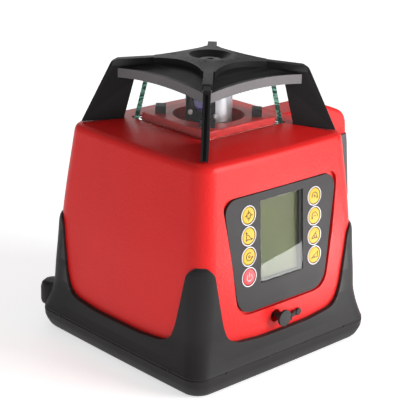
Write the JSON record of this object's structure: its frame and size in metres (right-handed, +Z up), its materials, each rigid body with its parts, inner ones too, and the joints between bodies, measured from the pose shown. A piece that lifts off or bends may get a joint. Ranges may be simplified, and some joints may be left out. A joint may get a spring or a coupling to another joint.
{
  "type": "rotary laser level",
  "caption": "Square self-levelling rotary laser in a red housing with a rubber boot, side carrying handle, keypad with display and a glazed lantern over its spinning head.",
  "frame": {"origin": "mouth of the tripod thread, at the centre of the surface the level stands on", "axes": "+Z up along the tripod thread and the spinning head's axis, keypad towards -Y, carrying handle towards +X, battery door towards +Y"},
  "size_m": [0.2099, 0.1679, 0.19],
  "materials": {
    "black_rubber": "moulded, fine matt grain, worn shiny at the corners",
    "pad_rubber": "matt, soft non-slip",
    "dark_nylon": "glass-filled nylon, fine grain",
    "insert_brass": "turned, dull",
    "zinc_screw": "zinc plated",
    "red_shell": "red, half gloss with a fine orange-peel grain",
    "gasket_red": "dark red sealing bead",
    "pane_glass": "clear float glass, green at its edges",
    "canopy_black": "satin charcoal coat on a die casting",
    "bumper_black": "matt",
    "panel_grey": "dark grey polyester film on a plastic plate",
    "window_clear": "clear, with a faint green cast",
    "display_olive": "olive liquid crystal cell in a dark bezel",
    "board_green": "solder resist over copper",
    "switch_steel": "pressed sheet caps",
    "button_yellow": "silicone, satin",
    "button_red": "silicone, satin",
    "socket_black": "moulded",
    "plug_rubber": "moulded, matt",
    "chassis_alloy": "cast and machined",
    "machined_alloy": "turned, clear anodised",
    "dark_alloy": "turned, black anodised",
    "pin_steel": "ground",
    "laser_brass": "turned",
    "bearing_steel": "polished",
    "motor_steel": "drawn can",
    "gear_acetal": "natural acetal",
    "head_silver": "silver paint on a turned drum",
    "prism_glass": "polished, coated",
    "lens_violet": "violet-blue anti-reflection coat",
    "screw_brass": "rolled thread",
    "nut_acetal": "natural acetal",
    "tray_grey": "moulded",
    "cell_jacket": "printed sleeve",
    "door_black": "moulded, fine grain",
    "handle_red": "as the shell",
    "grip_grey": "over-moulded, matt"
  },
  "bodies": {
    "level_case": {"rubber_boot": "black_rubber", "foot_pads": "pad_rubber", "base_plate": "dark_nylon", "tripod_insert": "insert_brass", "base_screws": "zinc_screw", "housing_shell": "red_shell", "top_tray": "red_shell", "glass_gasket": "gasket_red", "glass_front": "pane_glass", "glass_right": "pane_glass", "glass_back": "pane_glass", "glass_left": "pane_glass", "canopy": "canopy_black", "hub_insert": "dark_alloy", "tray_bumpers": "bumper_black", "keypad_panel": "panel_grey", "display_window": "window_clear", "display_module": "display_olive", "control_board": "board_green", "tact_switches": "switch_steel", "charge_socket": "socket_black", "plug_anchor": "plug_rubber", "chassis_frame": "chassis_alloy", "chassis_posts": "pin_steel", "level_motors": "motor_steel", "battery_tray": "tray_grey", "battery_cells": "cell_jacket", "handle_frame": "handle_red", "handle_grip": "grip_grey"},
    "gimbal": {"gimbal_ring": "machined_alloy", "gimbal_pins": "pin_steel"},
    "laser_unit": {"laser_barrel": "dark_alloy", "barrel_pins": "pin_steel", "laser_module": "laser_brass", "head_bearing": "bearing_steel", "spin_motor": "motor_steel"},
    "rotor": {"rotor_hub": "machined_alloy", "ring_gear": "gear_acetal", "rotor_head": "head_silver", "prism_holder": "dark_alloy", "penta_prism": "prism_glass", "exit_lens": "lens_violet"},
    "pinion": {"motor_pinion": "gear_acetal"},
    "screw_x": {"level_screw_x": "screw_brass"},
    "screw_y": {"level_screw_y": "screw_brass"},
    "nut_x": {"level_nut_x": "nut_acetal"},
    "nut_y": {"level_nut_y": "nut_acetal"},
    "strap": {"plug_strap": "plug_rubber"},
    "plug": {"dust_plug": "plug_rubber"},
    "door": {"battery_door": "door_black"},
    "screw_left": {"door_screw_left": "zinc_screw"},
    "screw_right": {"door_screw_right": "zinc_screw"},
    "calibrate_key": {"calibrate_button": "button_yellow"},
    "axis_key": {"axis_button": "button_yellow"},
    "rotate_key": {"rotate_button": "button_yellow"},
    "power_key": {"power_button": "button_red"},
    "turn_right_key": {"turn_right_button": "button_yellow"},
    "turn_left_key": {"turn_left_button": "button_yellow"},
    "scan_key": {"scan_button": "button_yellow"},
    "slope_key": {"slope_button": "button_yellow"}
  },
  "joints": [
    {"name": "tilt_x", "type": "hinge", "parent": "level_case", "child": "gimbal", "pos_m": [0, 0, 0.1], "axis": [1, 0, 0], "range_deg": [-5, 5]},
    {"name": "tilt_y", "type": "hinge", "parent": "gimbal", "child": "laser_unit", "pos_m": [0, 0, 0.1], "axis": [0, 1, 0], "range_deg": [-5, 5]},
    {"name": "head_spin", "type": "hinge", "parent": "laser_unit", "child": "rotor", "pos_m": [0, 0, 0.117], "axis": [0, 0, 1], "continuous": true},
    {"name": "pinion_spin", "type": "hinge", "parent": "laser_unit", "child": "pinion", "pos_m": [0, 0.0241, 0.13], "axis": [0, 0, 1], "continuous": true},
    {"name": "nut_x_travel", "type": "slide", "parent": "level_case", "child": "nut_x", "axis": [0, 0, 1], "range_m": [-0.0032, 0.0032]},
    {"name": "nut_y_travel", "type": "slide", "parent": "level_case", "child": "nut_y", "axis": [0, 0, 1], "range_m": [-0.0032, 0.0032]},
    {"name": "screw_x_turn", "type": "hinge", "parent": "level_case", "child": "screw_x", "pos_m": [0, -0.042, 0.1], "axis": [0, 0, 1], "range_deg": [-2205, 2205]},
    {"name": "screw_y_turn", "type": "hinge", "parent": "level_case", "child": "screw_y", "pos_m": [0.042, 0, 0.1], "axis": [0, 0, 1], "range_deg": [-2205, 2205]},
    {"name": "calibrate_press", "type": "slide", "parent": "level_case", "child": "calibrate_key", "axis": [0, 0.9976, -0.0698], "range_m": [0, 0.0008], "stiffness_N_per_m": 900},
    {"name": "axis_press", "type": "slide", "parent": "level_case", "child": "axis_key", "axis": [0, 0.9976, -0.0698], "range_m": [0, 0.0008], "stiffness_N_per_m": 900},
    {"name": "rotate_press", "type": "slide", "parent": "level_case", "child": "rotate_key", "axis": [0, 0.9976, -0.0698], "range_m": [0, 0.0008], "stiffness_N_per_m": 900},
    {"name": "power_press", "type": "slide", "parent": "level_case", "child": "power_key", "axis": [0, 0.9976, -0.0698], "range_m": [0, 0.0008], "stiffness_N_per_m": 900},
    {"name": "turn_right_press", "type": "slide", "parent": "level_case", "child": "turn_right_key", "axis": [0, 0.9976, -0.0698], "range_m": [0, 0.0008], "stiffness_N_per_m": 900},
    {"name": "turn_left_press", "type": "slide", "parent": "level_case", "child": "turn_left_key", "axis": [0, 0.9976, -0.0698], "range_m": [0, 0.0008], "stiffness_N_per_m": 900},
    {"name": "scan_press", "type": "slide", "parent": "level_case", "child": "scan_key", "axis": [0, 0.9976, -0.0698], "range_m": [0, 0.0008], "stiffness_N_per_m": 900},
    {"name": "slope_press", "type": "slide", "parent": "level_case", "child": "slope_key", "axis": [0, 0.9976, -0.0698], "range_m": [0, 0.0008], "stiffness_N_per_m": 900},
    {"name": "plug_swing", "type": "hinge", "parent": "level_case", "child": "strap", "pos_m": [0.0096, -0.07455, 0.0339], "axis": [0, 0, 1], "range_deg": [-31, 75]},
    {"name": "plug_tilt", "type": "hinge", "parent": "strap", "child": "plug", "pos_m": [0.00073, -0.07998, 0.0359], "axis": [0, 0, 1], "range_deg": [-76, 32]},
    {"name": "door_slide", "type": "slide", "parent": "level_case", "child": "door", "axis": [0, 0.9979, 0.0645], "range_m": [0, 0.05]},
    {"name": "left_fastener_turn", "type": "hinge", "parent": "door", "child": "screw_left", "pos_m": [-0.04, 0.06873, 0.10694], "axis": [0, 0.9979, 0.0645], "range_deg": [0, 90]},
    {"name": "right_fastener_turn", "type": "hinge", "parent": "door", "child": "screw_right", "pos_m": [0.04, 0.06873, 0.10694], "axis": [0, 0.9979, 0.0645], "range_deg": [0, 90]}
  ],
  "couplings": [
    {"joint": "plug_tilt", "follows": "plug_swing", "ratio": -1},
    {"joint": "pinion_spin", "follows": "head_spin", "ratio": -3},
    {"joint": "nut_x_travel", "follows": "tilt_x", "m_per_rad": -0.035},
    {"joint": "nut_y_travel", "follows": "tilt_y", "m_per_rad": -0.035},
    {"joint": "screw_x_turn", "follows": "tilt_x", "ratio": 439.82},
    {"joint": "screw_y_turn", "follows": "tilt_y", "ratio": 439.82}
  ]
}
